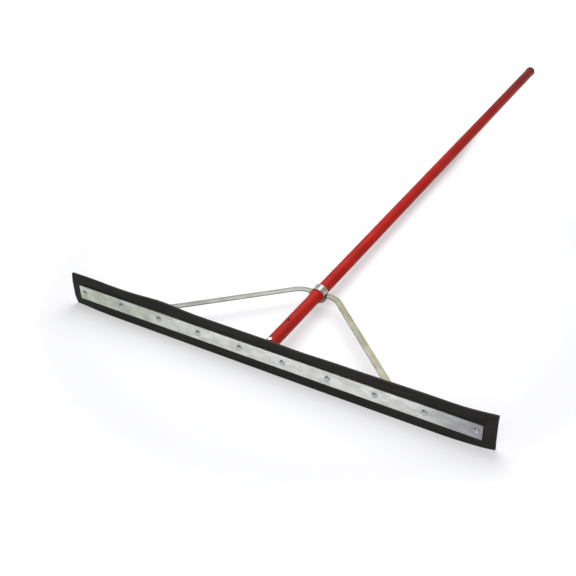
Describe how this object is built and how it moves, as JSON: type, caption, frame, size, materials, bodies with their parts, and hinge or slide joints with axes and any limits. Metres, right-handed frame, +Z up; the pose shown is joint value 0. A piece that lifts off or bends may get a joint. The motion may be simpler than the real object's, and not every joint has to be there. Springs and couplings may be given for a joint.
{
  "type": "floor squeegee",
  "caption": "Straight floor squeegee: a rubber blade bolted between steel strips, with a long tube handle in a braced socket.",
  "frame": {"origin": "middle of the rubber blade's lower, wiping edge", "axes": "+X along the blade, to the right as the bolt heads are seen; -Y the way the bolt heads face; +Y back along the handle; +Z up, from the wiping edge to the blade's top edge"},
  "size_m": [0.922, 1.5258, 0.0762],
  "materials": {
    "rubber": "matt black sheet rubber",
    "zinc_steel": "pale satin zinc plate",
    "zinc_strap": "dull, slightly yellow zinc plate",
    "bright_steel": "bright plated steel",
    "dark_steel": "black oxide",
    "red_paint": "semi-gloss red powder coat",
    "black_plastic": "fine matt grain"
  },
  "bodies": {
    "head": {"back_strip": "zinc_steel", "brace": "zinc_strap", "collar": "bright_steel", "front_strip": "zinc_steel", "rubber_blade": "rubber", "socket_bolt": "zinc_steel", "socket_bracket": "zinc_steel", "socket_nut": "zinc_steel", "socket_tube": "red_paint", "spring_pin": "dark_steel", "strip_bolt_01": "zinc_steel", "strip_bolt_02": "zinc_steel", "strip_bolt_03": "zinc_steel", "strip_bolt_04": "zinc_steel", "strip_bolt_05": "zinc_steel", "strip_bolt_06": "zinc_steel", "strip_bolt_07": "zinc_steel", "strip_bolt_08": "zinc_steel", "strip_bolt_09": "zinc_steel", "strip_bolt_10": "zinc_steel", "strip_washer_01": "zinc_steel", "strip_washer_02": "zinc_steel", "strip_washer_03": "zinc_steel", "strip_washer_04": "zinc_steel", "strip_washer_05": "zinc_steel", "strip_washer_06": "zinc_steel", "strip_washer_07": "zinc_steel", "strip_washer_08": "zinc_steel", "strip_washer_09": "zinc_steel", "strip_washer_10": "zinc_steel", "strip_nut_01": "zinc_steel", "strip_nut_02": "zinc_steel", "strip_nut_03": "zinc_steel", "strip_nut_04": "zinc_steel", "strip_nut_05": "zinc_steel", "strip_nut_06": "zinc_steel", "strip_nut_07": "zinc_steel", "strip_nut_08": "zinc_steel", "strip_nut_09": "zinc_steel", "strip_nut_10": "zinc_steel"},
    "handle": {"handle_tube": "red_paint", "handle_end_cap": "black_plastic"},
    "lock_screw": {"lock_screw": "zinc_steel"}
  },
  "joints": [
    {"name": "handle_slide", "type": "slide", "parent": "head", "child": "handle", "axis": [0, 1, 0], "range_m": [0, 0.08]},
    {"name": "lock_screw_turn", "type": "hinge", "parent": "head", "child": "lock_screw", "pos_m": [0, 0.221, 0.0199], "axis": [0, 0, 1], "continuous": true}
  ]
}
